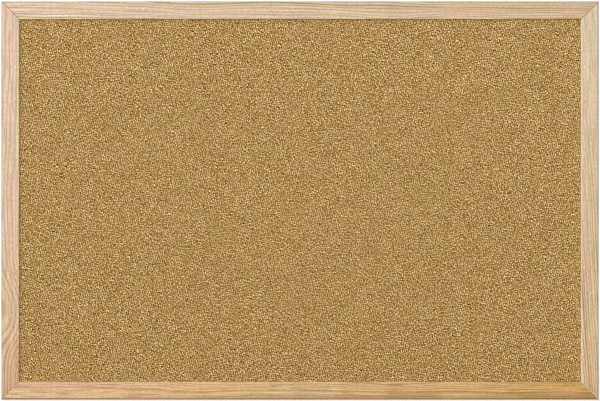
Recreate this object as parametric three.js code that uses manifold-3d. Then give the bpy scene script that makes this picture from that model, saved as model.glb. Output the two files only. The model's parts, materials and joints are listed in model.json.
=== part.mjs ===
// Cork pin board in a mitred pine frame, made to hang on a wall.
// Sizes are millimetres. As the board hangs, +X is right, +Z is up and the cork faces -Y.
// The origin is on the wall, straight behind the middle of the board.
import * as THREE from "three";
import { mergeVertices } from "three/addons/utils/BufferGeometryUtils.js";
import Module from "manifold-3d";

const wasm = await Module();
wasm.setup();

// Board
const BOARD_WIDTH = 600;
const BOARD_HEIGHT = 400;

// Frame: one pine moulding, mitred at the corners, with a groove that holds the panel
const RAIL_WIDTH = 18;
const FRONT_LIP = 3;
const BACK_LIP = 3.1;
const GROOVE_DEPTH = 6;
const OUTER_EDGE_RADIUS = 1.5;
const INNER_EDGE_RADIUS = 0.8;
const BACK_EDGE_EASE = 0.6;
const MITRE_GAP = 0.25;

// Panel: cork on a softboard core on a hardboard back
const CORK_THICKNESS = 2;
const CORK_PINCH = 0.4;
const CORE_THICKNESS = 4.5;
const BACKING_THICKNESS = 2;
const PANEL_EDGE_GAP = 0.8;

// Fits
const FIT_GAP = 0.3;
const GLUE_LINE = 0.1;

// V-nails: two across the back of each mitre, at shares of the solid part of the mitre line
const V_NAIL_HEIGHT = 10;
const V_NAIL_GAUGE = 0.6;
const V_NAIL_LEG = 3.5;
const V_NAIL_FLANGE = 0.8;
const V_NAIL_SINK = 0.4;
const V_NAIL_SHARES = { outer: 0.6, inner: 0.88 };

// Hangers: a folded steel strap, and the D-ring that swings in its fold
const HANGER_DROP = 60;
const STRAP_WIDTH = 9.5;
const STRAP_GAUGE = 0.9;
const STRAP_FOLD_GAP = 0.15;
const STRAP_FALL_DEGREES = 40;
const STRAP_TAIL = 6.5;
const RING_WIRE = 2;
const RING_SIDE_PLAY = 1;
const RING_SIDE = 4;
const RING_BEND_RADIUS = 2.2;
const RING_SEAM = 0.5;
const RING_EDGE_INSET = 0.45;

// Hanger screws
const SCREW_LENGTH = 12;
const SCREW_SHANK = 2.5;
const SCREW_POINT = 3.5;
const SCREW_HEAD = 5.4;
const SCREW_HEAD_HEIGHT = 1.7;
const SCREW_HEAD_RIM = 0.5;
const SCREW_HEADS_APART = 4.6;
const SCREW_TO_RING = 1.5;
const RECESS_SPAN = 2.9;
const RECESS_SLOT = 0.75;
const RECESS_DEPTH = 0.9;

// Wall bumpers at the bottom corners
const BUMPER_DIAMETER = 10;
const BUMPER_HEIGHT = 5;
const BUMPER_RIM_RADIUS = 1.2;
const BUMPER_CORNER_INSET = 32;

// How finely round forms are cut, and how far a cut runs past the face it opens in
const EDGE_SEGMENTS = 4;
const ROUND_SEGMENTS = 24;
const SCREW_SEGMENTS = 16;
const LOOP_SEGMENTS = 14;
const WIRE_SIDES = 10;
const WIRE_STEPS = 44;
const OVERCUT = 1;

const QUARTER = Math.PI / 2;

// Depths, counted along Y from the wall at 0 to the front of the frame
const pinchedCork = CORK_THICKNESS - CORK_PINCH;
const panelThickness = pinchedCork + GLUE_LINE + CORE_THICKNESS + GLUE_LINE + BACKING_THICKNESS;
const grooveWidth = panelThickness + 2 * FIT_GAP;
const railDepth = FRONT_LIP + grooveWidth + BACK_LIP;
const frameBack = -(BUMPER_HEIGHT + GLUE_LINE);
const corkPinchFace = frameBack - railDepth + FRONT_LIP + FIT_GAP;
const corkFace = corkPinchFace - CORK_PINCH;
const coreFace = corkPinchFace + pinchedCork + GLUE_LINE;
const backingFace = coreFace + CORE_THICKNESS + GLUE_LINE;

// Distances in from the board's outer edge
const grooveInset = RAIL_WIDTH - GROOVE_DEPTH;
const panelInset = grooveInset + PANEL_EDGE_GAP;
const corkFieldInset = RAIL_WIDTH + FIT_GAP;
const mitreSolid = grooveInset * Math.SQRT2;

// Hanger sizes, counted out from the frame's back and down from the ring's axis
const wireRadius = RING_WIRE / 2;
const ringHalf = STRAP_WIDTH / 2 + RING_SIDE_PLAY + wireRadius;
const ringReach = RING_SIDE + ringHalf + wireRadius;
const hangerInset = ringHalf + wireRadius + RING_EDGE_INSET;
const loopRadius = wireRadius + FIT_GAP;
const loopTop = 2 * (loopRadius + STRAP_GAUGE);
const pivotOut = STRAP_GAUGE + loopRadius;
const pivotHeight = BOARD_HEIGHT / 2 - HANGER_DROP;
const strapTop = 2 * STRAP_GAUGE + STRAP_FOLD_GAP;
const screwHole = SCREW_SHANK / 2 + FIT_GAP;
const upperScrewDrop = ringReach + SCREW_TO_RING + SCREW_HEAD / 2;
const lowerScrewDrop = upperScrewDrop + SCREW_HEAD + SCREW_HEADS_APART;
const screwDrops = { upper: upperScrewDrop, lower: lowerScrewDrop };
const strapLength = lowerScrewDrop + STRAP_TAIL;

// A closed geometry as a solid that can be cut and joined.
function solidOf(geometry) {
  const bare = geometry.clone();
  bare.deleteAttribute("normal");
  bare.deleteAttribute("uv");
  const merged = mergeVertices(bare);
  const vertProperties = merged.attributes.position.array;
  const triVerts = new Uint32Array(merged.index.array);
  return new wasm.Manifold(new wasm.Mesh({ numProp: 3, vertProperties, triVerts }));
}

// A solid as a geometry again.
function geometryOf(solid) {
  const { vertProperties, triVerts } = solid.getMesh();
  const geometry = new THREE.BufferGeometry();
  geometry.setAttribute("position", new THREE.BufferAttribute(vertProperties, 3));
  geometry.setIndex(new THREE.BufferAttribute(triVerts, 1));
  geometry.computeVertexNormals();
  return geometry;
}

// What is left of a solid when a list of geometries is cut out of it.
function cutAway(solid, cuts) {
  return geometryOf(cuts.reduce((rest, cut) => rest.subtract(solidOf(cut)), solid));
}

function extruded(shape, depth) {
  return new THREE.ExtrudeGeometry(shape, { depth, bevelEnabled: false, curveSegments: EDGE_SEGMENTS });
}

// The outline of a bent strip: its middle line carried half the gauge to each side, with mitred bends.
function strip(line, gauge) {
  const runs = line.slice(1).map((point, i) => point.clone().sub(line[i]).normalize());
  const across = line.map((_, i) => {
    const arriving = runs[Math.max(i - 1, 0)];
    const leaving = runs[Math.min(i, runs.length - 1)];
    const middle = arriving.clone().add(leaving).normalize();
    return new THREE.Vector2(-middle.y, middle.x).multiplyScalar(gauge / 2 / middle.dot(arriving));
  });
  const left = line.map((point, i) => point.clone().add(across[i]));
  const right = line.map((point, i) => point.clone().sub(across[i]));
  return new THREE.Shape([...left, ...right.reverse()]);
}

// A round hole drilled from the level y = mouth towards -Y.
function drill(depth, mouth) {
  const length = depth + OVERCUT;
  const hole = new THREE.CylinderGeometry(screwHole, screwHole, length, SCREW_SEGMENTS);
  return hole.translate(0, mouth + OVERCUT - length / 2, 0);
}

// The moulding's section: x runs from the outer edge in towards the cork, y from the back to the front.
function railSection() {
  const innerArc = { x: RAIL_WIDTH - INNER_EDGE_RADIUS, y: railDepth - INNER_EDGE_RADIUS };
  const outerArc = { x: OUTER_EDGE_RADIUS, y: railDepth - OUTER_EDGE_RADIUS };
  const section = new THREE.Shape();
  section.moveTo(BACK_EDGE_EASE, 0);
  section.lineTo(RAIL_WIDTH - BACK_EDGE_EASE, 0);
  section.lineTo(RAIL_WIDTH, BACK_EDGE_EASE);
  section.lineTo(RAIL_WIDTH, BACK_LIP);
  section.lineTo(grooveInset, BACK_LIP);
  section.lineTo(grooveInset, BACK_LIP + grooveWidth);
  section.lineTo(RAIL_WIDTH, BACK_LIP + grooveWidth);
  section.lineTo(RAIL_WIDTH, innerArc.y);
  section.absarc(innerArc.x, innerArc.y, INNER_EDGE_RADIUS, 0, QUARTER);
  section.lineTo(outerArc.x, railDepth);
  section.absarc(outerArc.x, outerArc.y, OUTER_EDGE_RADIUS, QUARTER, Math.PI);
  section.lineTo(0, BACK_EDGE_EASE);
  return section;
}

// The moulding carried along X, each end drawn back as far as it lies in from the outer edge: a mitre.
// It lies as the bottom rail does, with its outer edge at z = 0 and its back at y = 0.
function mitredRail(length) {
  const rail = extruded(railSection(), 1);
  const position = rail.attributes.position;
  for (let i = 0; i < position.count; i += 1) {
    const inward = position.getX(i);
    const forward = position.getY(i);
    const along = position.getZ(i) - 0.5;
    position.setXYZ(i, along * (length - 2 * inward - MITRE_GAP), -forward, inward);
  }
  return rail;
}

// A bent plate across the mitre at the bottom rail's left end, with room to spare on all its sides.
// Its fold points along the mitre line to the cork, and its legs open to the outer corner.
function vPlate(share, room, height) {
  const fold = mitreSolid * share;
  const step = V_NAIL_LEG * Math.SQRT1_2;
  const line = [
    new THREE.Vector2(fold - step - V_NAIL_FLANGE - room, step),
    new THREE.Vector2(fold - step, step),
    new THREE.Vector2(fold, 0),
    new THREE.Vector2(fold - step, -step),
    new THREE.Vector2(fold - step - V_NAIL_FLANGE - room, -step),
  ];
  const plate = extruded(strip(line, V_NAIL_GAUGE + 2 * room), height);
  return plate.rotateX(QUARTER).rotateY(-QUARTER / 2);
}

function vNail(share) {
  return vPlate(share, 0, V_NAIL_HEIGHT).translate(0, -V_NAIL_SINK, 0);
}

function vNailPocket(share) {
  const depth = V_NAIL_SINK + V_NAIL_HEIGHT + FIT_GAP;
  return vPlate(share, FIT_GAP, depth + OVERCUT).translate(0, OVERCUT, 0);
}

// The V-nail pockets at a rail's two ends.
function railPockets(length) {
  return Object.values(V_NAIL_SHARES).flatMap((share) => [
    vNailPocket(share).translate(-length / 2, 0, 0),
    vNailPocket(share).rotateY(-QUARTER).translate(length / 2, 0, 0),
  ]);
}

// Pilot holes for the hanger screws, in a stile turned by that many quarters from the bottom rail.
function pilotHoles(turn) {
  const depth = SCREW_LENGTH - strapTop + FIT_GAP;
  return Object.values(screwDrops).map((drop) =>
    drill(depth, 0).translate(-turn * (pivotHeight - drop), 0, hangerInset),
  );
}

// A flat sheet that fills the board inside an even margin, with its front at the level y = face.
function sheet(margin, thickness, face) {
  const panel = new THREE.BoxGeometry(BOARD_WIDTH - 2 * margin, thickness, BOARD_HEIGHT - 2 * margin);
  return panel.translate(0, face + thickness / 2, 0);
}

// The cork has its full thickness in the sight opening and is pinched thinner where the groove holds it.
function corkSheet() {
  const field = solidOf(sheet(corkFieldInset, CORK_THICKNESS, corkFace));
  return geometryOf(field.add(solidOf(sheet(panelInset, pinchedCork, corkPinchFace))));
}

// The strap's middle line, seen from its side: x runs down from the ring's axis and y out from the frame.
// It lies on the frame, rolls round the ring's bar and falls back onto itself.
function strapLine() {
  const bend = loopRadius + STRAP_GAUGE / 2;
  const topLayer = strapTop - STRAP_GAUGE / 2;
  const first = 3 * QUARTER;
  const last = QUARTER - THREE.MathUtils.degToRad(STRAP_FALL_DEGREES);
  const line = [new THREE.Vector2(strapLength, STRAP_GAUGE / 2)];
  for (let i = 0; i <= LOOP_SEGMENTS; i += 1) {
    const angle = first + ((last - first) * i) / LOOP_SEGMENTS;
    line.push(new THREE.Vector2(bend * Math.cos(angle), pivotOut + bend * Math.sin(angle)));
  }
  const leaving = line[line.length - 1];
  const run = (leaving.y - topLayer) * Math.tan(last);
  line.push(new THREE.Vector2(leaving.x + run, topLayer));
  line.push(new THREE.Vector2(strapLength, topLayer));
  return line;
}

// The strap's plan, with the ring's axis at y = 0: straight sides and a round tail.
function strapPlan() {
  const half = STRAP_WIDTH / 2;
  const plan = new THREE.Shape();
  plan.moveTo(half, loopTop);
  plan.lineTo(-half, loopTop);
  plan.lineTo(-half, half - strapLength);
  plan.absarc(0, half - strapLength, half, Math.PI, 2 * Math.PI);
  return plan;
}

// The bent strip, turned to lie along the frame, then trimmed to its plan and drilled.
function hangerStrap() {
  const bent = extruded(strip(strapLine(), STRAP_GAUGE), STRAP_WIDTH).translate(0, 0, -STRAP_WIDTH / 2);
  const block = extruded(strapPlan(), loopTop + 2 * OVERCUT);
  const strap = solidOf(bent.rotateY(QUARTER)).intersect(
    solidOf(block.rotateX(QUARTER).translate(0, loopTop + OVERCUT, 0)),
  );
  const holes = Object.values(screwDrops).map((drop) => drill(loopTop, strapTop).translate(0, 0, -drop));
  return cutAway(strap, holes);
}

// The D-ring hangs from its bar at the origin. Its wire ends meet in a butt seam inside the strap's fold.
function dRing() {
  const bend = RING_BEND_RADIUS;
  const outline = new THREE.Path();
  outline.moveTo(RING_SEAM / 2, 0);
  outline.lineTo(ringHalf - bend, 0);
  outline.absarc(ringHalf - bend, bend, bend, -QUARTER, 0);
  outline.lineTo(ringHalf, RING_SIDE);
  outline.absarc(0, RING_SIDE, ringHalf, 0, Math.PI);
  outline.lineTo(-ringHalf, bend);
  outline.absarc(-ringHalf + bend, bend, bend, Math.PI, 3 * QUARTER);
  outline.lineTo(-RING_SEAM / 2, 0);
  const middle = outline.getSpacedPoints(WIRE_STEPS).map((p) => new THREE.Vector3(p.x, 0, -p.y));
  const extrudePath = new THREE.CatmullRomCurve3(middle);
  const corners = Array.from({ length: WIRE_SIDES }, (_, i) => {
    const angle = (4 * QUARTER * i) / WIRE_SIDES;
    return new THREE.Vector2(wireRadius * Math.cos(angle), wireRadius * Math.sin(angle));
  });
  return new THREE.ExtrudeGeometry(new THREE.Shape(corners), { extrudePath, steps: WIRE_STEPS });
}

// How far the hanging ring leans out, so that its round end lies just off the strap.
function ringLean() {
  const crossing = RING_SIDE + Math.sqrt(ringHalf ** 2 - (STRAP_WIDTH / 2) ** 2) - wireRadius;
  return Math.asin((strapTop + FIT_GAP + wireRadius - pivotOut) / crossing);
}

// A domed head with a cross recess, on a plain shank with a tapered point. Its seat is at y = 0.
function screw() {
  const head = SCREW_HEAD / 2;
  const shank = SCREW_SHANK / 2;
  const outline = new THREE.Path();
  outline.moveTo(0, -SCREW_LENGTH);
  outline.lineTo(shank, SCREW_POINT - SCREW_LENGTH);
  outline.lineTo(shank, 0);
  outline.lineTo(head, 0);
  outline.lineTo(head, SCREW_HEAD_RIM);
  outline.absellipse(0, SCREW_HEAD_RIM, head, SCREW_HEAD_HEIGHT - SCREW_HEAD_RIM, 0, QUARTER);
  const turned = solidOf(new THREE.LatheGeometry(outline.getPoints(EDGE_SEGMENTS), SCREW_SEGMENTS));
  const recess = [0, QUARTER].map((angle) => {
    const slot = new THREE.BoxGeometry(RECESS_SPAN, 2 * RECESS_DEPTH, RECESS_SLOT);
    return slot.rotateY(angle).translate(0, SCREW_HEAD_HEIGHT, 0);
  });
  return cutAway(turned, recess);
}

// A stuck-on bumper with a rounded rim. Its foot is at y = 0 and its flat face looks towards +Y.
function bumper() {
  const radius = BUMPER_DIAMETER / 2;
  const rim = { x: radius - BUMPER_RIM_RADIUS, y: BUMPER_HEIGHT - BUMPER_RIM_RADIUS };
  const outline = new THREE.Path();
  outline.moveTo(0, 0);
  outline.lineTo(radius, 0);
  outline.lineTo(radius, rim.y);
  outline.absarc(rim.x, rim.y, BUMPER_RIM_RADIUS, 0, QUARTER);
  outline.lineTo(0, BUMPER_HEIGHT);
  return new THREE.LatheGeometry(outline.getPoints(EDGE_SEGMENTS), ROUND_SEGMENTS);
}

function finish(color, roughness, metalness = 0) {
  return new THREE.MeshStandardMaterial({ color, roughness, metalness });
}

const finishes = {
  topPine: finish(0xd8bd9b, 0.62),
  leftPine: finish(0xdcbfa0, 0.62),
  rightPine: finish(0xd5ba98, 0.62),
  bottomPine: finish(0xcfaa7a, 0.62),
  cork: finish(0xae8b56, 0.9),
  softboard: finish(0x9a7a52, 0.95),
  hardboard: finish(0x6b4a30, 0.7),
  zincSteel: finish(0xb9bcc0, 0.35, 1),
  rubber: finish(0x2b2b2d, 0.8),
};

function piece(name, geometry, material) {
  const mesh = new THREE.Mesh(geometry, material);
  mesh.name = name;
  return mesh;
}

// A rail along one side of the board, turned by that many quarters from the bottom rail.
function rail(name, turn, material) {
  const upright = turn % 2 !== 0;
  const length = upright ? BOARD_HEIGHT : BOARD_WIDTH;
  const reach = (upright ? BOARD_WIDTH : BOARD_HEIGHT) / 2;
  const cuts = [...railPockets(length), ...(upright ? pilotHoles(turn) : [])];
  const mesh = piece(name, cutAway(solidOf(mitredRail(length)), cuts), material);
  mesh.rotation.y = turn * QUARTER;
  mesh.position.set(-reach * Math.sin(turn * QUARTER), frameBack, -reach * Math.cos(turn * QUARTER));
  return mesh;
}

// The two V-nails of a corner, turned by that many quarters from the bottom left one.
function cornerNails(name, turn, side, level) {
  const corner = new THREE.Group();
  corner.position.set((side * BOARD_WIDTH) / 2, frameBack, (level * BOARD_HEIGHT) / 2);
  corner.rotation.y = turn * QUARTER;
  for (const [place, share] of Object.entries(V_NAIL_SHARES)) {
    corner.add(piece(`${name}_${place}_v_nail`, vNail(share), finishes.zincSteel));
  }
  return corner;
}

// A hanger on the back of a stile: its strap, its two screws and the ring that swings in its fold.
function hanger(name, side) {
  const group = new THREE.Group();
  group.position.set(side * (BOARD_WIDTH / 2 - hangerInset), frameBack + GLUE_LINE, pivotHeight);
  group.add(piece(`${name}_hanger_strap`, hangerStrap(), finishes.zincSteel));
  for (const [place, drop] of Object.entries(screwDrops)) {
    const fixing = piece(`${name}_${place}_hanger_screw`, screw(), finishes.zincSteel);
    fixing.position.set(0, strapTop + GLUE_LINE, -drop);
    group.add(fixing);
  }
  const ring = piece(`${name}_d_ring`, dRing(), finishes.zincSteel);
  ring.position.y = pivotOut;
  ring.rotation.x = ringLean();
  group.add(ring);
  return group;
}

function wallBumper(name, side) {
  const mesh = piece(`${name}_bumper`, bumper(), finishes.rubber);
  const x = side * (BOARD_WIDTH / 2 - BUMPER_CORNER_INSET);
  mesh.position.set(x, frameBack + GLUE_LINE, (RAIL_WIDTH - BOARD_HEIGHT) / 2);
  return mesh;
}

const pinBoard = new THREE.Group();
pinBoard.add(
  rail("bottom_rail", 0, finishes.bottomPine),
  rail("left_stile", 1, finishes.leftPine),
  rail("top_rail", 2, finishes.topPine),
  rail("right_stile", -1, finishes.rightPine),
  piece("cork_sheet", corkSheet(), finishes.cork),
  piece("softboard_core", sheet(panelInset, CORE_THICKNESS, coreFace), finishes.softboard),
  piece("hardboard_back", sheet(panelInset, BACKING_THICKNESS, backingFace), finishes.hardboard),
  cornerNails("bottom_left", 0, -1, -1),
  cornerNails("top_left", 1, -1, 1),
  cornerNails("top_right", 2, 1, 1),
  cornerNails("bottom_right", -1, 1, -1),
  hanger("left", -1),
  hanger("right", 1),
  wallBumper("left", -1),
  wallBumper("right", 1),
);

export default pinBoard;
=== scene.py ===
"""How the cork pin board looks: a mitred pine frame round granular cork, with hangers and bumpers behind.

Everything is in metres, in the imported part's own frame: +X is right, +Z is up, the cork faces -Y and the
wall is at Y = 0.
"""
import json
import math

import bmesh
import bpy
import numpy as np
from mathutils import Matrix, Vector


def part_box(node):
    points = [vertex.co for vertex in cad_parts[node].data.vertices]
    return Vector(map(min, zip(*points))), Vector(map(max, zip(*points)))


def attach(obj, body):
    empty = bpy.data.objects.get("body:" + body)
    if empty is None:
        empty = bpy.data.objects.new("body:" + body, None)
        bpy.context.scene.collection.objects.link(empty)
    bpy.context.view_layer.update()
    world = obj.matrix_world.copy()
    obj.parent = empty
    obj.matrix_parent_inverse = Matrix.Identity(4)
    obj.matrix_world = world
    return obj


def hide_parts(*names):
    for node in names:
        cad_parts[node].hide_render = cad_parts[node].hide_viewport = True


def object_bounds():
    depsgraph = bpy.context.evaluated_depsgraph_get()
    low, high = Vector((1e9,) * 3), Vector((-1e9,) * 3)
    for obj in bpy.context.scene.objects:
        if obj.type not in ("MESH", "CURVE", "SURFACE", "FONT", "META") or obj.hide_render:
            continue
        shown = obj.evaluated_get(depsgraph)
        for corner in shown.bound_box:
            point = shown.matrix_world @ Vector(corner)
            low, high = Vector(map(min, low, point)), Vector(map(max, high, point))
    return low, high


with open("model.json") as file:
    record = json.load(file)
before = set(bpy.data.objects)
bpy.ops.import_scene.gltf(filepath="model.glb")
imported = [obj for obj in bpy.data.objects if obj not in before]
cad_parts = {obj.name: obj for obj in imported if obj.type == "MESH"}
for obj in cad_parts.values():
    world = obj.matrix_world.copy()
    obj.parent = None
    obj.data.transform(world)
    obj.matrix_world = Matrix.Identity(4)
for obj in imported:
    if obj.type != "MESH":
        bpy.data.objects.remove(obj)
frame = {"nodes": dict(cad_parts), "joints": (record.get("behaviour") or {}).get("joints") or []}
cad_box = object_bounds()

MM = 0.001

# Camera: the picture's width, and how wide the board stands in it, in pixels
IMAGE_WIDTH = 600
BOARD_PIXELS = 597.25
CAMERA_DISTANCE = 2.4
SENSOR_WIDTH = 36

# Light: a soft lamp by the camera, a wide one from the upper left, one behind, and a little from all round.
# Each has the direction it shines from, its strength, and the angle that it looks across.
LAMPS = {
    "front_lamp": ((0, -1, 0.12), 1.75, math.radians(25)),
    "side_lamp": ((-0.9, -1, 0.73), 1.2, math.radians(50)),
    "back_lamp": ((-0.35, 1, 0.45), 2.2, math.radians(50)),
}
ROOM_LIGHT = 0.2
FLOOR_GLOW = 0.42
FLOOR_SIZE = 40

# Rails: the rounding of their outer front edge, behind which they are widest
FRONT_ROUND = 1.5 * MM

# Patterns in the pine: how long and how wide each is, in mm, and its detail. Real dashes, streaks and fibre
# are much finer, and these are as coarse as they need to be to show.
PINE_PATTERNS = {
    "bends": (120, 30, 1.0),
    "dashes": (24, 0.6, 0.0),
    "clouds": (55, 9, 2.0),
    "streaks": (40, 0.9, 2.5),
    "fibre": (3.2, 0.7, 2.0),
}

# Years in the pine: how quickly their width changes, and by how many years that shifts a line at most
YEAR_CHANGE = 0.45
YEAR_SHIFT = 1.2

# Tints, wear and painted light in the pine, in mm: how deep tints go in from the front, and between which
# depths wear and painted light fade out. Each has a colour, and how far from its edge, or along the rail
# from
# its mitre, it starts and is full: a painted highlight on the inner edge where it faces the light, painted
# shade on the outer edge where it turns away from it, dirt along the first mitre and glue along the other.
TINT_DEPTH = 12
WEAR_AND_LIGHT_GONE = 3.0
WEAR_AND_LIGHT_FULL = 1.8
PINE_WEAR_AND_LIGHT = {
    # Painted highlight: a paler band on the inner front edge, mostly on the right stile and lower rail,
    # whose rounded inner edges face the light
    "inner_highlight": ("f6e9c8", 1.7, 0.6),
    # Painted shade: a darker band on the outer front edge, strongest on the lower rail and right stile,
    # whose rounded edges turn away from the light
    "outer_shade": ("5c5644", 1.6, 0.3),
    "dirt": ("6e5040", 1.1, 0.5),
    "glue": ("f0e2c0", 1.2, 0.6),
}

# Cork sheet: the grid's step, the margin in the rails' grooves and how far it is pinched, how far points are
# shifted as a share of the step, how rough the face is, and how deep and how many its pits are
CORK_GRID = 1.55 * MM
CORK_STEP_INSET = 5.5 * MM
CORK_PINCH = 0.4 * MM
CORK_SHIFT = 0.3
CORK_ROUGHNESS = 0.04 * MM
CORK_PIT_DEPTH = 0.2 * MM
CORK_PIT_SHARE = 0.05
CORK_SEED = 11

# D-rings: the wire's radius, the straight sides, the bends by the bar, the gap between the wire's ends, and
# how many points lie on a bend, on a quarter of the large arc and round the wire
RING_WIRE = 1.0 * MM
RING_SIDE = 4 * MM
RING_BEND = 2.2 * MM
RING_SEAM = 0.5 * MM
BEND_STEPS = 10
ARC_STEPS = 28
WIRE_SIDES = 20

# Screws: the radii of tip and shank, the point's length, and the height of the head and of its rim. Then, of
# the cross sunk in the head, half its span, half a slot's width, its depth, and the share of it that slopes.
SCREW_TIP = 0.125 * MM
SCREW_SHANK = 1.25 * MM
SCREW_POINT = 3.5 * MM
SCREW_HEAD_HEIGHT = 1.7 * MM
SCREW_HEAD_RIM = 0.5 * MM
RECESS_SPAN = 1.45 * MM
RECESS_SLOT = 0.38 * MM
RECESS_DEPTH = 0.9 * MM
RECESS_TAPER = 0.3
DOME_STEPS = 40

# Bumpers: the rounding of their rims, and where their outline starts and ends as shares of the radius
BUMPER_RIM = 1.2 * MM
BUMPER_FOOT = 0.5
BUMPER_FACE = 0.4
RIM_STEPS = 12

# Screws and bumpers: how many points lie round them
TURNED_SIDES = 64

# Shading: how near points are merged in copies of CAD solids, how much their broad faces count, and the
# sharpest edge that stays smooth
MERGE_DISTANCE = 0.002 * MM
BROAD_FACE_WEIGHT = 100
CREASE = math.radians(32)


def linear(code):
    """An sRGB colour written as six hex digits, as linear red, green and blue with full alpha."""
    shares = np.array([int(code[i:i + 2], 16) for i in (0, 2, 4)]) / 255
    lit = np.where(shares <= 0.04045, shares / 12.92, ((shares + 0.055) / 1.055) ** 2.4)
    return (*lit.tolist(), 1.0)


def blank(name):
    """A new material with an empty node tree."""
    material = bpy.data.materials.new(name)
    material.use_nodes = True
    material.node_tree.nodes.clear()
    return material, material.node_tree


def add(tree, kind, inputs=(), stops=(), **settings):
    """Adds a node with its settings. An input is a value or another node's output, and stops fill a ramp."""
    node = tree.nodes.new("ShaderNode" + kind)
    for name, value in settings.items():
        setattr(node, name, value)
    for socket, value in dict(inputs).items():
        if isinstance(value, bpy.types.NodeSocket):
            tree.links.new(value, node.inputs[socket])
        else:
            node.inputs[socket].default_value = value
    for i, (place, colour) in enumerate(stops):
        ramp = node.color_ramp.elements
        stop = ramp[i] if i < len(ramp) else ramp.new(1.0)
        stop.position = place
        stop.color = colour
    return node


def grey(value):
    """A grey of that linear value, for a ramp that gives a number."""
    return (value, value, value, 1.0)


def millimetres(tree):
    """Where a point lies on its piece, in mm."""
    place = add(tree, "TexCoord").outputs["Object"]
    return add(tree, "Mapping", {"Vector": place, "Scale": (1 / MM,) * 3}).outputs[0]


# Materials

def cork_granules():
    """Agglomerated cork, pressed from granules and sanded flat. Some granules are pale cream with a dark
    rim, some are dark bark with a pale rim, and the rest lie between. Finer crumbs fill in, whole flakes are
    lighter or darker, wide patches are pinkish or olive, and the surface is dull and a little rough."""
    material, tree = blank("agglomerated_cork")

    # Sizes in mm. Real granules are about half as wide, and these are as coarse as they need to be to show.
    granule = 1.9
    crumb = 0.8
    flake = 4.2
    patch = 26

    # The sheet lies in X and Z, and its pattern is turned so that no rows of granules follow the frame
    turn = math.radians(12)
    flat = add(tree, "Mapping", {"Vector": millimetres(tree), "Rotation": (-math.pi / 2, 0, 0)}).outputs[0]
    mm = add(tree, "Mapping", {"Vector": flat, "Rotation": (0, 0, turn)}).outputs[0]
    granules = add(tree, "TexVoronoi", {
        "Vector": mm, "Scale": 1 / granule, "Randomness": 0.7, "Smoothness": 0.5},
        voronoi_dimensions="2D", feature="SMOOTH_F1")
    own = add(tree, "SeparateColor", {"Color": granules.outputs["Color"]}).outputs
    pale = add(tree, "MapRange", {
        "Value": granules.outputs["Distance"], "From Min": 0.7, "From Max": 0.1}).outputs[0]
    dark = add(tree, "Math", {0: 1.0, 1: pale}, operation="SUBTRACT").outputs[0]
    barky = add(tree, "MapRange", {"Value": own["Red"], "From Min": 0.25, "From Max": 0.75}).outputs[0]
    tone = add(tree, "Mix", {0: barky, 2: pale, 3: dark}).outputs[0]
    crumbs = add(tree, "TexNoise", {"Vector": mm, "Scale": 1 / crumb, "Detail": 0.0}, noise_dimensions="2D")
    shade = add(tree, "Mix", {0: 0.5, 2: tone, 3: crumbs.outputs["Fac"]}).outputs[0]
    tan = add(tree, "ValToRGB", {"Fac": shade}, stops=[
        (0.37, linear("301200")),
        (0.45, linear("845612")),
        (0.51, linear("af833e")),
        (0.57, linear("cea055")),
        (0.65, linear("ffd98c")),
        (0.74, linear("fff6c6")),
    ]).outputs["Color"]
    flakes = add(tree, "TexVoronoi", {"Vector": mm, "Scale": 1 / flake}, voronoi_dimensions="2D")
    bark = add(tree, "SeparateColor", {"Color": flakes.outputs["Color"]}).outputs["Red"]
    toned = add(tree, "MapRange", {"Value": bark, "To Min": 0.94, "To Max": 1.06}).outputs[0]
    tan = add(tree, "HueSaturation", {"Color": tan, "Value": toned}).outputs[0]
    patches = add(tree, "TexNoise", {"Vector": mm, "Scale": 1 / patch, "Detail": 2.0}).outputs["Fac"]
    pink = add(tree, "MapRange", {
        "Value": patches, "From Min": 0.5, "From Max": 0.7, "To Max": 0.17}).outputs[0]
    olive = add(tree, "MapRange", {
        "Value": patches, "From Min": 0.5, "From Max": 0.3, "To Max": 0.17}).outputs[0]
    warmed = add(tree, "MixRGB", {"Fac": pink, "Color1": tan, "Color2": linear("b88860")}).outputs[0]
    colour = add(tree, "MixRGB", {"Fac": olive, "Color1": warmed, "Color2": linear("a68f4c")}).outputs[0]
    relief = add(tree, "Bump", {"Height": shade, "Strength": 0.2, "Distance": 0.1 * MM}).outputs[0]
    rough = add(tree, "MapRange", {"Value": own["Green"], "To Min": 0.78, "To Max": 0.95}).outputs[0]
    shader = add(tree, "BsdfPrincipled", {
        "Base Color": colour, "Roughness": rough, "Normal": relief, "Specular IOR Level": 0.2})
    add(tree, "OutputMaterial", {"Surface": shader.outputs[0]})
    return material


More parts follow.
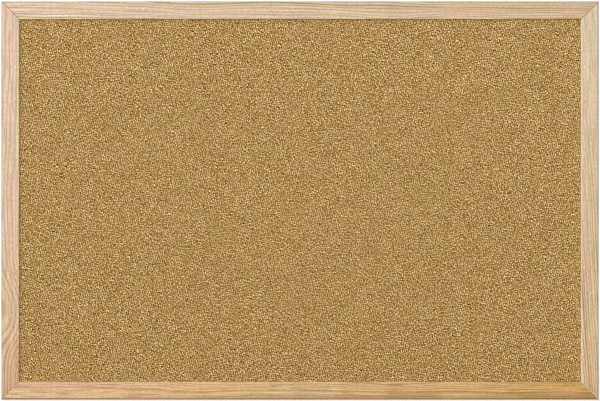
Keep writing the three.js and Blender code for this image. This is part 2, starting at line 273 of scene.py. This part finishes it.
def pine(rail, figure):
    """Planed and lacquered pine. The growth rings lie round a pith outside the rail, so that its faces cut
    them into long lines: pale early wood that darkens to a narrow golden late line, then starts pale again.
    Over that lie sapwood and resin tints, short resin dashes, pinkish clouding, long streaks and short
    fibre, dirt and glue along the mitres, a painted highlight along the inner front edge and painted shade
    along the outer one, and a satin lacquer. Some tints along the lower rail's outer edge are painted shade."""
    material, tree = blank("lacquered_pine_" + rail)
    lowest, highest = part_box(rail)
    run = figure["run"]
    across = "Z" if run == "X" else "X"
    signs = [{run: figure["along"], across: figure["inward"], "Y": 1}[axis] for axis in "XYZ"]
    begin = [lowest[i] if signs[i] > 0 else highest[i] for i in range(3)]
    length = (highest - lowest)["XYZ".index(run)] / MM
    width = (highest - lowest)["XYZ".index(across)] / MM
    place = add(tree, "TexCoord").outputs["Object"]
    mm = add(tree, "Mapping", {
        "Vector": place,
        "Scale": [sign / MM for sign in signs],
        "Location": [-sign * start / MM for sign, start in zip(signs, begin)],
    }).outputs[0]
    parts = add(tree, "SeparateXYZ", {"Vector": mm}).outputs
    grain = add(tree, "CombineXYZ", {"X": parts[run], "Y": parts["Y"], "Z": parts[across]}).outputs[0]
    share = add(tree, "MapRange", {"Value": parts[run], "From Max": length}).outputs[0]

    # Patterns drawn out along the grain
    noise = {}
    for pattern, (long, wide, detail) in PINE_PATTERNS.items():
        drawn = add(tree, "Mapping", {"Vector": grain, "Scale": (1 / long, 1 / wide, 1 / wide)}).outputs[0]
        drift = add(tree, "TexNoise", {"Vector": drawn, "Scale": 1.0, "Detail": detail})
        noise[pattern] = drift.outputs["Fac"]

    # Growth rings, which swell round a knot
    pith = figure["pith"]
    lean = figure["lean"]
    trunk = add(tree, "Mapping", {
        "Vector": grain, "Location": (0, -pith[1], -pith[0]), "Rotation": (0, lean, 0)}).outputs[0]
    level = add(tree, "VectorMath", {0: trunk, 1: (0, 1, 1)}, operation="MULTIPLY").outputs[0]
    radius = add(tree, "VectorMath", {0: level}, operation="LENGTH").outputs["Value"]
    rings = add(tree, "Math", {0: noise["bends"], 1: figure["wave"], 2: radius},
                operation="MULTIPLY_ADD").outputs[0]
    for middle, reach, swell in figure["knots"]:
        near = add(tree, "Mapping", {
            "Vector": grain, "Scale": (1 / reach[0], 0, 1 / reach[1]),
            "Location": (-middle[0] / reach[0], 0, -middle[1] / reach[1])}).outputs[0]
        apart = add(tree, "VectorMath", {0: near}, operation="LENGTH").outputs["Value"]
        lift = add(tree, "MapRange", {"Value": apart, "From Min": 1.0, "From Max": 0.0, "To Max": swell},
                   interpolation_type="SMOOTHERSTEP").outputs[0]
        rings = add(tree, "Math", {0: rings, 1: lift}).outputs[0]

    # Each year's late wood, in years of uneven width and depth
    years = add(tree, "Math", {0: rings, 1: 1 / figure["ring"]}, operation="MULTIPLY").outputs[0]
    uneven = add(tree, "TexNoise", {"W": years, "Scale": YEAR_CHANGE, "Detail": 1.0}, noise_dimensions="1D")
    season = add(tree, "Math", {0: uneven.outputs["Fac"], 1: YEAR_SHIFT, 2: years},
                 operation="MULTIPLY_ADD").outputs[0]
    growth = add(tree, "Math", {0: season}, operation="FRACT").outputs[0]
    year = add(tree, "Math", {0: season}, operation="FLOOR").outputs[0]
    late = add(tree, "ValToRGB", {"Fac": growth}, stops=[
        (0.0, grey(0.45)),
        (0.1, grey(0.0)),
        (0.45, grey(0.06)),
        (0.68, grey(0.45)),
        (0.88, grey(1.0)),
        (1.0, grey(0.45)),
    ]).outputs["Color"]
    richness = add(tree, "TexWhiteNoise", {"W": year}, noise_dimensions="1D").outputs["Value"]
    depth = add(tree, "MapRange", {"Value": richness, "To Min": 0.45, "To Max": 1.0}).outputs[0]
    (shallow, shallow_end), (deep, deep_start) = figure["depth"]
    fade = add(tree, "MapRange", {
        "Value": parts[run], "From Min": shallow_end, "From Max": deep_start,
        "To Min": shallow, "To Max": deep}).outputs[0]
    faded = add(tree, "Math", {0: depth, 1: fade}, operation="MULTIPLY").outputs[0]
    lines = add(tree, "Math", {0: late, 1: faded}, operation="MULTIPLY").outputs[0]

    # Colour from end to end, then tints, late wood, resin dashes, clouding and fibre
    first, last = (linear(code) for code in figure["ends"])
    golden = linear(figure["line"])
    pinkish = linear(figure["cloud"])
    colour = add(tree, "MixRGB", {"Fac": share, "Color1": first, "Color2": last}).outputs[0]
    ruffle = add(tree, "MapRange", {"Value": noise["clouds"], "To Min": -0.5, "To Max": 0.5}).outputs[0]
    for tint, middle, reach, cover in figure["tints"]:
        near = add(tree, "Mapping", {
            "Vector": grain, "Scale": (1 / reach[0], 1 / TINT_DEPTH, 1 / reach[1]),
            "Location": (-middle[0] / reach[0], 0, -middle[1] / reach[1])}).outputs[0]
        apart = add(tree, "VectorMath", {0: near}, operation="LENGTH").outputs["Value"]
        ragged = add(tree, "Math", {0: apart, 1: ruffle}).outputs[0]
        patch = add(tree, "MapRange", {"Value": ragged, "From Min": 1.1, "From Max": 0.3, "To Max": cover},
                    interpolation_type="SMOOTHSTEP").outputs[0]
        colour = add(tree, "MixRGB", {"Fac": patch, "Color1": colour, "Color2": linear(tint)}).outputs[0]
    colour = add(tree, "MixRGB", {"Fac": lines, "Color1": colour, "Color2": golden}).outputs[0]
    dashes = add(tree, "MapRange", {
        "Value": noise["dashes"], "From Min": 0.57, "From Max": 0.64, "To Max": figure["dash"]}).outputs[0]
    colour = add(tree, "MixRGB", {"Fac": dashes, "Color1": colour, "Color2": golden}).outputs[0]
    clouds = add(tree, "MapRange", {
        "Value": noise["clouds"], "From Min": 0.42, "From Max": 0.68, "To Max": 0.3}).outputs[0]
    colour = add(tree, "MixRGB", {"Fac": clouds, "Color1": colour, "Color2": pinkish}).outputs[0]
    grains = add(tree, "Mix", {0: 0.5, 2: noise["streaks"], 3: noise["fibre"]}).outputs[0]
    fibre = add(tree, "MapRange", {
        "Value": grains, "From Min": 0.3, "From Max": 0.7, "To Min": 0.6, "To Max": 1.4}).outputs[0]
    colour = add(tree, "HueSaturation", {"Color": colour, "Value": fibre}).outputs[0]

    # Wear and painted light by the front, from how far a point is from the edge or mitre that is marked: a
    # painted highlight on the inner edge, painted shade on the outer edge, dirt and glue by the mitres
    inner_edge = add(tree, "Math", {0: width, 1: parts[across]}, operation="SUBTRACT").outputs[0]
    first_mitre = add(tree, "Math", {0: parts[run], 1: parts[across]}, operation="SUBTRACT").outputs[0]
    left_over = add(tree, "Math", {0: length, 1: parts[run]}, operation="SUBTRACT").outputs[0]
    other_mitre = add(tree, "Math", {0: left_over, 1: parts[across]}, operation="SUBTRACT").outputs[0]
    far = {"inner_highlight": inner_edge, "outer_shade": parts[across], "dirt": first_mitre, "glue": other_mitre}
    front = add(tree, "MapRange", {
        "Value": parts["Y"], "From Min": WEAR_AND_LIGHT_GONE, "From Max": WEAR_AND_LIGHT_FULL}).outputs[0]
    for kind, (tint, start, full) in PINE_WEAR_AND_LIGHT.items():
        band = add(tree, "MapRange", {
            "Value": far[kind], "From Min": start, "From Max": full, "To Max": figure[kind]}).outputs[0]
        wear_and_light = add(tree, "Math", {0: band, 1: front}, operation="MULTIPLY").outputs[0]
        colour = add(tree, "MixRGB", {"Fac": wear_and_light, "Color1": colour, "Color2": linear(tint)}).outputs[0]

    # Surface
    height = add(tree, "Math", {0: lines, 1: 0.5, 2: fibre}, operation="MULTIPLY_ADD").outputs[0]
    relief = add(tree, "Bump", {"Height": height, "Strength": 0.12, "Distance": 0.06 * MM}).outputs[0]
    rough = add(tree, "MapRange", {
        "Value": grains, "From Min": 0.3, "From Max": 0.7, "To Min": 0.5, "To Max": 0.58}).outputs[0]
    shader = add(tree, "BsdfPrincipled", {
        "Base Color": colour, "Roughness": rough, "Normal": relief, "Specular IOR Level": 0.4})
    add(tree, "OutputMaterial", {"Surface": shader.outputs[0]})
    return material


def hardboard():
    """Pressed wood fibre, smooth side out: dark brown, clouded, felted from paler and darker fibres that lie
    both ways across each other, with the dull shine of a hot platen."""
    material, tree = blank("smooth_hardboard")

    # Sizes in mm. Real fibres are finer, and these are as coarse as they need to be to show.
    cloud = 35
    curl = 8
    curl_reach = 4
    fibre = (6, 1, 0.9)
    mm = millimetres(tree)
    clouds = add(tree, "TexNoise", {"Vector": mm, "Scale": 1 / cloud, "Detail": 4.0}).outputs["Fac"]
    brown = add(tree, "ValToRGB", {"Fac": clouds}, stops=[
        (0.3, linear("614128")),
        (0.5, linear("6d4a2e")),
        (0.7, linear("775236")),
    ]).outputs["Color"]
    bent = add(tree, "TexNoise", {"Vector": mm, "Scale": 1 / curl, "Detail": 1.0}).outputs["Color"]
    curled = add(tree, "VectorMath", {0: bent, 1: (curl_reach,) * 3, 2: mm},
                 operation="MULTIPLY_ADD").outputs[0]
    felt = []
    for turn in (math.radians(30), math.radians(-50)):
        laid = add(tree, "Mapping", {"Vector": curled, "Rotation": (0, turn, 0)}).outputs[0]
        drawn = add(tree, "Mapping", {"Vector": laid, "Scale": [1 / size for size in fibre]}).outputs[0]
        felt.append(add(tree, "TexNoise", {"Vector": drawn, "Scale": 1.0, "Detail": 2.0}).outputs["Fac"])
    flecks = add(tree, "Mix", {0: 0.5, 2: felt[0], 3: felt[1]}).outputs[0]
    pale = add(tree, "MapRange", {
        "Value": flecks, "From Min": 0.52, "From Max": 0.68, "To Max": 0.5}).outputs[0]
    dark = add(tree, "MapRange", {
        "Value": flecks, "From Min": 0.48, "From Max": 0.34, "To Max": 0.5}).outputs[0]
    flecked = add(tree, "MixRGB", {"Fac": pale, "Color1": brown, "Color2": linear("a07a52")}).outputs[0]
    colour = add(tree, "MixRGB", {"Fac": dark, "Color1": flecked, "Color2": linear("3c2413")}).outputs[0]
    relief = add(tree, "Bump", {"Height": flecks, "Strength": 0.2, "Distance": 0.05 * MM}).outputs[0]
    rough = add(tree, "MapRange", {"Value": clouds, "To Min": 0.4, "To Max": 0.62}).outputs[0]
    shader = add(tree, "BsdfPrincipled", {"Base Color": colour, "Roughness": rough, "Normal": relief})
    add(tree, "OutputMaterial", {"Surface": shader.outputs[0]})
    return material


def softboard():
    """Loose-felted wood fibre: straw brown, matt and hairy."""
    material, tree = blank("wood_fibre_softboard")

    # A tuft of fibres, in mm
    tuft = (3, 0.8, 1.2)
    drawn = add(tree, "Mapping", {
        "Vector": millimetres(tree), "Scale": [1 / size for size in tuft]}).outputs[0]
    fibres = add(tree, "TexNoise", {
        "Vector": drawn, "Scale": 1.0, "Detail": 4.0, "Distortion": 1.5}).outputs["Fac"]
    colour = add(tree, "ValToRGB", {"Fac": fibres}, stops=[
        (0.3, linear("7c5f3c")),
        (0.5, linear("9a7a52")),
        (0.7, linear("bb9c72")),
    ]).outputs["Color"]
    relief = add(tree, "Bump", {"Height": fibres, "Strength": 0.6, "Distance": 0.2 * MM}).outputs[0]
    shader = add(tree, "BsdfPrincipled", {"Base Color": colour, "Roughness": 0.95, "Normal": relief})
    add(tree, "OutputMaterial", {"Surface": shader.outputs[0]})
    return material


def zinc_plated_steel():
    """Pressed steel with a bright zinc plating: pale grey metal, faintly clouded and blue-yellow from the
    bath, with drawn scratches."""
    material, tree = blank("bright_zinc_plated_steel")

    # Sizes in mm. Real scratches are much narrower, and these are as wide as they need to be to show.
    cloud = 2.5
    scratch = (0.4, 0.4, 6)
    mm = millimetres(tree)
    clouds = add(tree, "TexNoise", {"Vector": mm, "Scale": 1 / cloud, "Detail": 3.0}).outputs["Fac"]
    colour = add(tree, "ValToRGB", {"Fac": clouds}, stops=[
        (0.3, linear("a9adb2")),
        (0.5, linear("bfc2c4")),
        (0.7, linear("cfcbbf")),
    ]).outputs["Color"]
    drawn = add(tree, "Mapping", {"Vector": mm, "Scale": [1 / size for size in scratch]}).outputs[0]
    scratches = add(tree, "TexNoise", {"Vector": drawn, "Scale": 1.0, "Detail": 2.0}).outputs["Fac"]
    relief = add(tree, "Bump", {"Height": scratches, "Strength": 0.08, "Distance": 0.02 * MM}).outputs[0]
    rough = add(tree, "MapRange", {
        "Value": clouds, "From Min": 0.3, "From Max": 0.7, "To Min": 0.24, "To Max": 0.42}).outputs[0]
    shader = add(tree, "BsdfPrincipled", {
        "Base Color": colour, "Metallic": 1.0, "Roughness": rough, "Normal": relief})
    add(tree, "OutputMaterial", {"Surface": shader.outputs[0]})
    return material


def black_rubber():
    """Moulded rubber: near black and dull, with a fine grain and a greyish bloom."""
    material, tree = blank("moulded_black_rubber")

    # Sizes in mm. A real grain is finer, and this one is as coarse as it needs to be to show.
    patch = 2
    pore = 0.6
    mm = millimetres(tree)
    bloom = add(tree, "TexNoise", {"Vector": mm, "Scale": 1 / patch, "Detail": 4.0}).outputs["Fac"]
    colour = add(tree, "ValToRGB", {"Fac": bloom}, stops=[
        (0.35, linear("232325")),
        (0.65, linear("37373a")),
    ]).outputs["Color"]
    grain = add(tree, "TexNoise", {"Vector": mm, "Scale": 1 / pore, "Detail": 2.0}).outputs["Fac"]
    relief = add(tree, "Bump", {"Height": grain, "Strength": 0.25, "Distance": 0.05 * MM}).outputs[0]
    rough = add(tree, "MapRange", {"Value": bloom, "To Min": 0.6, "To Max": 0.85}).outputs[0]
    shader = add(tree, "BsdfPrincipled", {"Base Color": colour, "Roughness": rough, "Normal": relief})
    add(tree, "OutputMaterial", {"Surface": shader.outputs[0]})
    return material


# Pieces

def show(piece, body, slot, material, *nodes):
    """Puts a finished piece in the scene, on its body, in the place of the CAD nodes that it stands for."""
    bpy.context.scene.collection.objects.link(piece)
    piece.data.materials.clear()
    piece.data.materials.append(material)
    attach(piece, body)
    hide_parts(*nodes)


def grid_faces(rows, columns, wrap):
    """The quads between neighbours on a grid of rows and columns, whose last column may join the first."""
    row, column = np.meshgrid(
        np.arange(rows - 1), np.arange(columns if wrap else columns - 1), indexing="ij")
    after = (column + 1) % columns
    start = row * columns
    following = start + columns
    corners = (start + column, start + after, following + after, following + column)
    return np.stack(corners, axis=-1).reshape(-1, 4).tolist()


def outward_mesh(name, points, faces):
    """A mesh from points and faces, with faces turned outwards and smooth up to the crease angle."""
    mesh = bpy.data.meshes.new(name)
    mesh.from_pydata(points.tolist(), [], faces)
    work = bmesh.new()
    work.from_mesh(mesh)
    bmesh.ops.recalc_face_normals(work, faces=work.faces)
    work.to_mesh(mesh)
    work.free()
    mesh.shade_smooth()
    mesh.set_sharp_from_angle(angle=CREASE)
    return mesh


def smooth_copy(node, name):
    """A CAD solid with its loose triangles merged, smooth over round edges and flat on broad faces."""
    mesh = frame["nodes"][node].data.copy()
    mesh.name = name
    mesh.attributes.remove(mesh.attributes["custom_normal"])
    work = bmesh.new()
    work.from_mesh(mesh)
    bmesh.ops.remove_doubles(work, verts=work.verts, dist=MERGE_DISTANCE)
    work.to_mesh(mesh)
    work.free()
    mesh.shade_smooth()
    mesh.set_sharp_from_angle(angle=CREASE)
    piece = bpy.data.objects.new(name, mesh)
    flats = piece.modifiers.new("flat_faces", "WEIGHTED_NORMAL")
    flats.keep_sharp = True
    flats.weight = BROAD_FACE_WEIGHT
    return piece


def cork_sheet():
    """The cork as a grid over its width and height: x and z step evenly over the field and then out to the
    pinched margin, y is the face's level there, and in the field each point is shifted and sunk a little at
    random, a few of them into pits. The rim then runs straight back and draws in to one point in the middle
    of the back."""
    lowest, highest = (np.array(corner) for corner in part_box("cork_sheet"))
    chance = np.random.default_rng(CORK_SEED)

    def lines(low, high):
        steps = round((high - low - 2 * CORK_STEP_INSET) / CORK_GRID)
        even = np.linspace(low + CORK_STEP_INSET, high - CORK_STEP_INSET, steps + 1)
        return np.concatenate([[low, even[0]], even, [even[-1], high]])

    x, z = np.meshgrid(lines(lowest[0], highest[0]), lines(lowest[2], highest[2]), indexing="ij")
    y = np.full_like(x, lowest[1] + CORK_PINCH)
    field = (slice(2, -2), slice(2, -2))
    y[field] = lowest[1]
    inner = (slice(3, -3), slice(3, -3))
    shape = x[inner].shape
    x[inner] += chance.uniform(-CORK_SHIFT, CORK_SHIFT, shape) * CORK_GRID
    z[inner] += chance.uniform(-CORK_SHIFT, CORK_SHIFT, shape) * CORK_GRID
    sunk = np.abs(chance.normal(0, CORK_ROUGHNESS, shape))
    pits = chance.random(shape) < CORK_PIT_SHARE
    y[inner] += np.where(pits, CORK_PIT_DEPTH * chance.random(shape), sunk)
    rows, columns = x.shape
    index = np.arange(rows * columns).reshape(rows, columns)
    rim = np.concatenate([index[:, 0], index[-1, 1:], index[-2::-1, -1], index[0, -2:0:-1]])
    front = np.stack([x, y, z], axis=-1).reshape(-1, 3)
    back = front[rim] * [1, 0, 1] + [0, highest[1], 0]
    middle = np.array([[0, highest[1], 0]])
    points = np.concatenate([front, back, middle])
    behind = len(front) + np.arange(len(rim))
    centre = len(points) - 1
    edge = np.stack([rim, np.roll(rim, -1), np.roll(behind, -1), behind], axis=-1)
    fan = np.stack([behind, np.roll(behind, -1), np.full_like(behind, centre)], axis=-1)
    faces = [*grid_faces(rows, columns, False), *edge.tolist(), *fan.tolist()]
    return bpy.data.objects.new("cork_facing", outward_mesh("cork_facing", points, faces))


def swept_wire(name, path, normals, side, radius):
    """A round wire: at each point of a path in one plane, a circle of that radius spanned by the path's own
    normal and the plane's, with a point at each end to close it."""
    angle = np.linspace(0, 2 * np.pi, WIRE_SIDES, endpoint=False)
    ring = np.cos(angle)[None, :, None] * normals[:, None, :] + np.sin(angle)[None, :, None] * side
    points = np.concatenate([(path[:, None, :] + radius * ring).reshape(-1, 3), path[[0, -1]]])
    around = np.arange(WIRE_SIDES)
    after = np.roll(around, -1)
    last = (len(path) - 1) * WIRE_SIDES
    start = np.stack([after, around, np.full(WIRE_SIDES, len(points) - 2)], axis=-1)
    end = np.stack([last + around, last + after, np.full(WIRE_SIDES, len(points) - 1)], axis=-1)
    faces = [*grid_faces(len(path), WIRE_SIDES, True), *start.tolist(), *end.tolist()]
    return bpy.data.objects.new(name, outward_mesh(name, points, faces))


def d_ring(name, node, pivot):
    """A D-ring hanging from its bar at the pivot. Half the wire's line, from the butt seam: along the bar,
    round a quarter bend, down the side and round a quarter of the large arc. The other half is its mirror
    image, and the whole leans out as the CAD ring does."""
    lowest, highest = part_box(node)
    half = (highest.x - lowest.x) / 2 - RING_WIRE
    reach = RING_SIDE + half
    lean = math.asin((highest.y - pivot.y - RING_WIRE) / reach)
    bend = np.linspace(-np.pi / 2, 0, BEND_STEPS)
    turn = np.linspace(0, np.pi / 2, ARC_STEPS)
    straight = half - RING_BEND
    bar = np.array([RING_SEAM / 2, straight / 2])
    right = np.concatenate([
        np.stack([bar, 0 * bar], axis=-1),
        np.stack([straight + RING_BEND * np.cos(bend), RING_BEND + RING_BEND * np.sin(bend)], axis=-1),
        np.stack([half * np.cos(turn), RING_SIDE + half * np.sin(turn)], axis=-1),
    ])
    flat = np.concatenate([right, right[-2::-1] * [-1, 1]])
    along = np.gradient(flat, axis=0)
    along /= np.linalg.norm(along, axis=1, keepdims=True)
    down = np.array([0, math.sin(lean), -math.cos(lean)])
    sideways = np.array([1.0, 0, 0])
    path = np.array(pivot) + flat[:, :1] * sideways + flat[:, 1:] * down
    normals = along[:, 1:] * sideways - along[:, :1] * down
    return swept_wire(name, path, normals, np.cross(sideways, down), RING_WIRE)


def turned(name, centre, outline, dent=None):
    """A piece turned round a line along Y through its centre: the outline's radii and levels carried round a
    circle. A dent may sink each point by an amount worked out from where it lies across the axis."""
    angle = np.linspace(0, 2 * np.pi, TURNED_SIDES, endpoint=False)
    radius, level = outline[:, :1], outline[:, 1:]
    x = radius * np.cos(angle)
    z = radius * np.sin(angle)
    y = level + 0 * angle
    if dent:
        y = y - dent(x, z, y)
    points = np.stack([x, y, z], axis=-1).reshape(-1, 3) + [centre.x, 0, centre.z]
    ends = np.array([[centre.x, level[0, 0], centre.z], [centre.x, y[-1].mean(), centre.z]])
    around = np.arange(TURNED_SIDES)
    last = (len(outline) - 1) * TURNED_SIDES + around
    low = len(points)
    first_cap = np.stack([around, np.roll(around, -1), np.full(TURNED_SIDES, low)], axis=-1)
    last_cap = np.stack([last, np.roll(last, -1), np.full(TURNED_SIDES, low + 1)], axis=-1)
    faces = [*grid_faces(len(outline), TURNED_SIDES, True), *first_cap.tolist(), *last_cap.tolist()]
    return bpy.data.objects.new(name, outward_mesh(name, np.concatenate([points, ends]), faces))


def hanger_screw(name, node):
    """A screw: from its point up the shank, out under the head, up a short rim and over an elliptic dome,
    into which a cross is sunk."""
    lowest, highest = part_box(node)
    head = (highest.x - lowest.x) / 2
    seat = highest.y - SCREW_HEAD_HEIGHT
    rim = seat + SCREW_HEAD_RIM
    rise = np.linspace(0, np.pi / 2, DOME_STEPS)[:-1]
    dome = np.stack([head * np.cos(rise), rim + (highest.y - rim) * np.sin(rise)], axis=-1)
    below = np.array([
        [SCREW_TIP, lowest.y],
        [SCREW_SHANK, lowest.y + SCREW_POINT],
        [SCREW_SHANK, seat],
        [head, seat],
    ])

    def within(place, limit):
        return np.clip((limit - np.abs(place)) / (RECESS_TAPER * limit), 0, 1)

    def cross(x, z, y):
        depth = np.clip(y - (highest.y - RECESS_DEPTH), 0, None)
        upright = within(x, RECESS_SLOT) * within(z, RECESS_SPAN)
        level = within(z, RECESS_SLOT) * within(x, RECESS_SPAN)
        return depth * np.maximum(upright, level) * (y > rim)

    return turned(name, (lowest + highest) / 2, np.concatenate([below, dome]), cross)


def wall_bumper(name, node):
    """A bumper: out along its foot, up its side, round its rim and in over its flat face."""
    lowest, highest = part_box(node)
    radius = (highest.x - lowest.x) / 2
    turn = np.linspace(0, np.pi / 2, RIM_STEPS)
    rim = np.stack([radius - BUMPER_RIM + BUMPER_RIM * np.cos(turn),
                    highest.y - BUMPER_RIM + BUMPER_RIM * np.sin(turn)], axis=-1)
    foot = np.array([[radius * BUMPER_FOOT, lowest.y], [radius, lowest.y]])
    face = np.array([[radius * BUMPER_FACE, highest.y]])
    return turned(name, (lowest + highest) / 2, np.concatenate([foot, rim, face]))


# Frame. Each rail has its own figure: which way it runs and which way is in, its colours at its left or
# upper end and at the other, the colours of late wood and clouds, the pith's place, how the grain leans, how
# wide rings are, how far they wander, how faint late wood is up to one place and how deep from another, and
# shares of dashes, of the painted highlight on the inner edge, of the painted shade on the outer edge, and
# of dirt and glue at the mitres. Knots have a place, a reach and how far rings swell. Tints have a colour, a
# place, a reach and a share. The pith's place is mm in from the outer edge and back from the front. Other
# places are mm along the rail and in from its outer edge.
PINE_FIGURES = {
    "top_rail": {
        "run": "X", "inward": -1, "along": 1,
        "ends": ("e4cfb3", "d0b794"), "line": "aa8458", "cloud": "e0b690",
        "pith": (80, 45), "lean": 0.02, "ring": 2.3, "wave": 9.0, "depth": ((1.4, 0), (1.7, 600)),
        "dash": 0.25, "inner_highlight": 0.0, "outer_shade": 0.22, "dirt": 0.6, "glue": 0.0, "knots": [],
        "tints": [
            ("f0e4bc", (55, 17.4), (85, 4.6), 0.8),
            ("e2d6a2", (365, 17.2), (60, 4), 0.7),
            ("e2d6a2", (490, 17.2), (35, 3.2), 0.5),
            ("d8a650", (570, 17.5), (18, 3), 0.6),
        ]},
    "bottom_rail": {
        "run": "X", "inward": 1, "along": 1,
        "ends": ("e5c498", "d1ab62"), "line": "9a6c30", "cloud": "deb27a",
        "pith": (-30, 40), "lean": -0.012, "ring": 2.0, "wave": 8.0, "depth": ((0.5, 60), (1.3, 350)),
        "dash": 0.6, "inner_highlight": 0.15, "outer_shade": 0.95, "dirt": 0.0, "glue": 0.0, "knots": [],
        "tints": [
            ("e0a98c", (60, 14), (80, 7), 0.5),
            ("cb9a2e", (562, 16.6), (62, 4.2), 1.0),
            ("f0d4aa", (305, 6), (120, 8), 0.5),
            # The next three tints darken the rail towards its lower outer edge: painted shade of the rounded
            # edge that turns away from the light
            ("a87a30", (430, 1.5), (380, 5), 0.55),
            ("b08c58", (100, 0), (220, 3.5), 0.45),
            ("9c6c14", (560, 2.5), (90, 5), 0.4),
        ]},
    "left_stile": {
        "run": "Z", "inward": 1, "along": -1,
        "ends": ("e5ceb6", "d7bb95"), "line": "a87848", "cloud": "e6ba9a",
        "pith": (-14, 42), "lean": -0.015, "ring": 2.0, "wave": 6.0, "depth": ((0.8, 305), (1.4, 360)),
        "dash": 0.45, "inner_highlight": 0.0, "outer_shade": 0.22, "dirt": 0.0, "glue": 0.0,
        "knots": [((312, 24), (70, 46), -9.0)],
        "tints": [
            ("e0d4a4", (120, 17.5), (150, 3.0), 0.85),
            ("ecc8b4", (60, 9), (120, 8), 0.25),
            ("c4a074", (385, 14), (60, 14), 0.5),
        ]},
    "right_stile": {
        "run": "Z", "inward": -1, "along": -1,
        "ends": ("dbc6a9", "d5b98e"), "line": "a07442", "cloud": "e0b894",
        "pith": (-65, 30), "lean": -0.08, "ring": 2.6, "wave": 5.0, "depth": ((0.4, 100), (1.6, 300)),
        "dash": 0.3, "inner_highlight": 0.5, "outer_shade": 0.75, "dirt": 0.4, "glue": 0.5, "knots": [],
        "tints": [
            ("ecdcac", (350, 17.3), (80, 2.6), 0.8),
            ("eed8b4", (320, 3.5), (70, 7), 0.35),
        ]},
}
for rail, figure in PINE_FIGURES.items():
    slot = "golden_pine" if rail == "bottom_rail" else "pine"
    show(smooth_copy(rail, rail + "_moulding"), "board", slot, pine(rail, figure), rail)

# Panel
show(cork_sheet(), "board", "cork", cork_granules(), "cork_sheet")
for node, material in {"softboard_core": softboard(), "hardboard_back": hardboard()}.items():
    frame["nodes"][node].data.materials[0] = material

# Steel and rubber behind
steel = zinc_plated_steel()
rubber = black_rubber()
for node, solid in frame["nodes"].items():
    if node.endswith("v_nail"):
        solid.data.materials[0] = steel
    elif node.endswith("strap"):
        show(smooth_copy(node, node + "_folded"), "board", "zinc_plated_steel", steel, node)
    elif node.endswith("screw"):
        show(hanger_screw(node + "_turned", node), "board", "zinc_plated_steel", steel, node)
    elif node.endswith("bumper"):
        show(wall_bumper(node + "_moulded", node), "board", "rubber", rubber, node)
for joint in frame["joints"]:
    ring = joint["child"]
    node = ring.replace("_ring", "_d_ring")
    pivot = Vector(joint["pos_m"])
    show(d_ring(node + "_wire", node, pivot), ring, "zinc_plated_steel", steel, node)


# Stage

def shown(tree):
    """1 for what the eye sees, straight on, mirrored or through something clear, and 0 for other light."""
    rays = add(tree, "LightPath").outputs
    seen = add(tree, "Math", {0: rays["Is Camera Ray"], 1: rays["Is Glossy Ray"]},
               operation="MAXIMUM").outputs[0]
    return add(tree, "Math", {0: seen, 1: rays["Is Transmission Ray"]}, operation="MAXIMUM").outputs[0]


def floor():
    """A pale floor at the board's lower edge, lighter to the eye than to the light that it throws back."""
    material, tree = blank("pale_floor")
    lit = add(tree, "BsdfDiffuse", {"Color": linear("f2f1ef")}).outputs[0]
    glow = add(tree, "Emission", {"Strength": FLOOR_GLOW}).outputs[0]
    pale = add(tree, "AddShader", {0: lit, 1: glow}).outputs[0]
    dim = add(tree, "BsdfDiffuse", {"Color": linear("bcbbb9")}).outputs[0]
    either = add(tree, "MixShader", {0: shown(tree), 1: dim, 2: pale}).outputs[0]
    add(tree, "OutputMaterial", {"Surface": either})
    reach = FLOOR_SIZE / 2
    level = cad_box[0].z
    corners = [(reach * x, reach * y, level) for x, y in ((-1, -1), (1, -1), (1, 1), (-1, 1))]
    mesh = bpy.data.meshes.new("floor")
    mesh.from_pydata(corners, [], [(0, 1, 2, 3)])
    mesh.materials.append(material)
    plane = bpy.data.objects.new("floor", mesh)
    bpy.context.scene.collection.objects.link(plane)


def lamp(name, source, strength, spread):
    """A far lamp that shines from that direction, as wide across as that angle."""
    data = bpy.data.lights.new(name, "SUN")
    data.energy = strength
    data.angle = spread
    light = bpy.data.objects.new(name, data)
    light.rotation_mode = "QUATERNION"
    light.rotation_quaternion = Vector(source).to_track_quat("Z", "Y")
    bpy.context.scene.collection.objects.link(light)


def room():
    """Even light from all round, with white to be seen behind the board and mirrored in its metal."""
    world = bpy.data.worlds.new("room")
    world.use_nodes = True
    tree = world.node_tree
    tree.nodes.clear()
    strength = add(tree, "MapRange", {"Value": shown(tree), "To Min": ROOM_LIGHT, "To Max": 1.0}).outputs[0]
    light = add(tree, "Background", {"Color": grey(1), "Strength": strength}).outputs[0]
    add(tree, "OutputWorld", {"Surface": light})
    bpy.context.scene.world = world


def camera():
    """A long lens straight in front of the board, which fills the picture's width as in the photograph."""
    width = (cad_box[1].x - cad_box[0].x) * IMAGE_WIDTH / BOARD_PIXELS
    data = bpy.data.cameras.new("camera")
    data.sensor_width = SENSOR_WIDTH
    data.lens = SENSOR_WIDTH * CAMERA_DISTANCE / width
    eye = bpy.data.objects.new("camera", data)
    eye.location = (0, cad_box[0].y + FRONT_ROUND - CAMERA_DISTANCE, 0)
    eye.rotation_euler = (math.pi / 2, 0, 0)
    bpy.context.scene.collection.objects.link(eye)
    bpy.context.scene.camera = eye


floor()
for name, (source, strength, spread) in LAMPS.items():
    lamp(name, source, strength, spread)
room()
camera()
bpy.context.scene.view_settings.view_transform = "Standard"
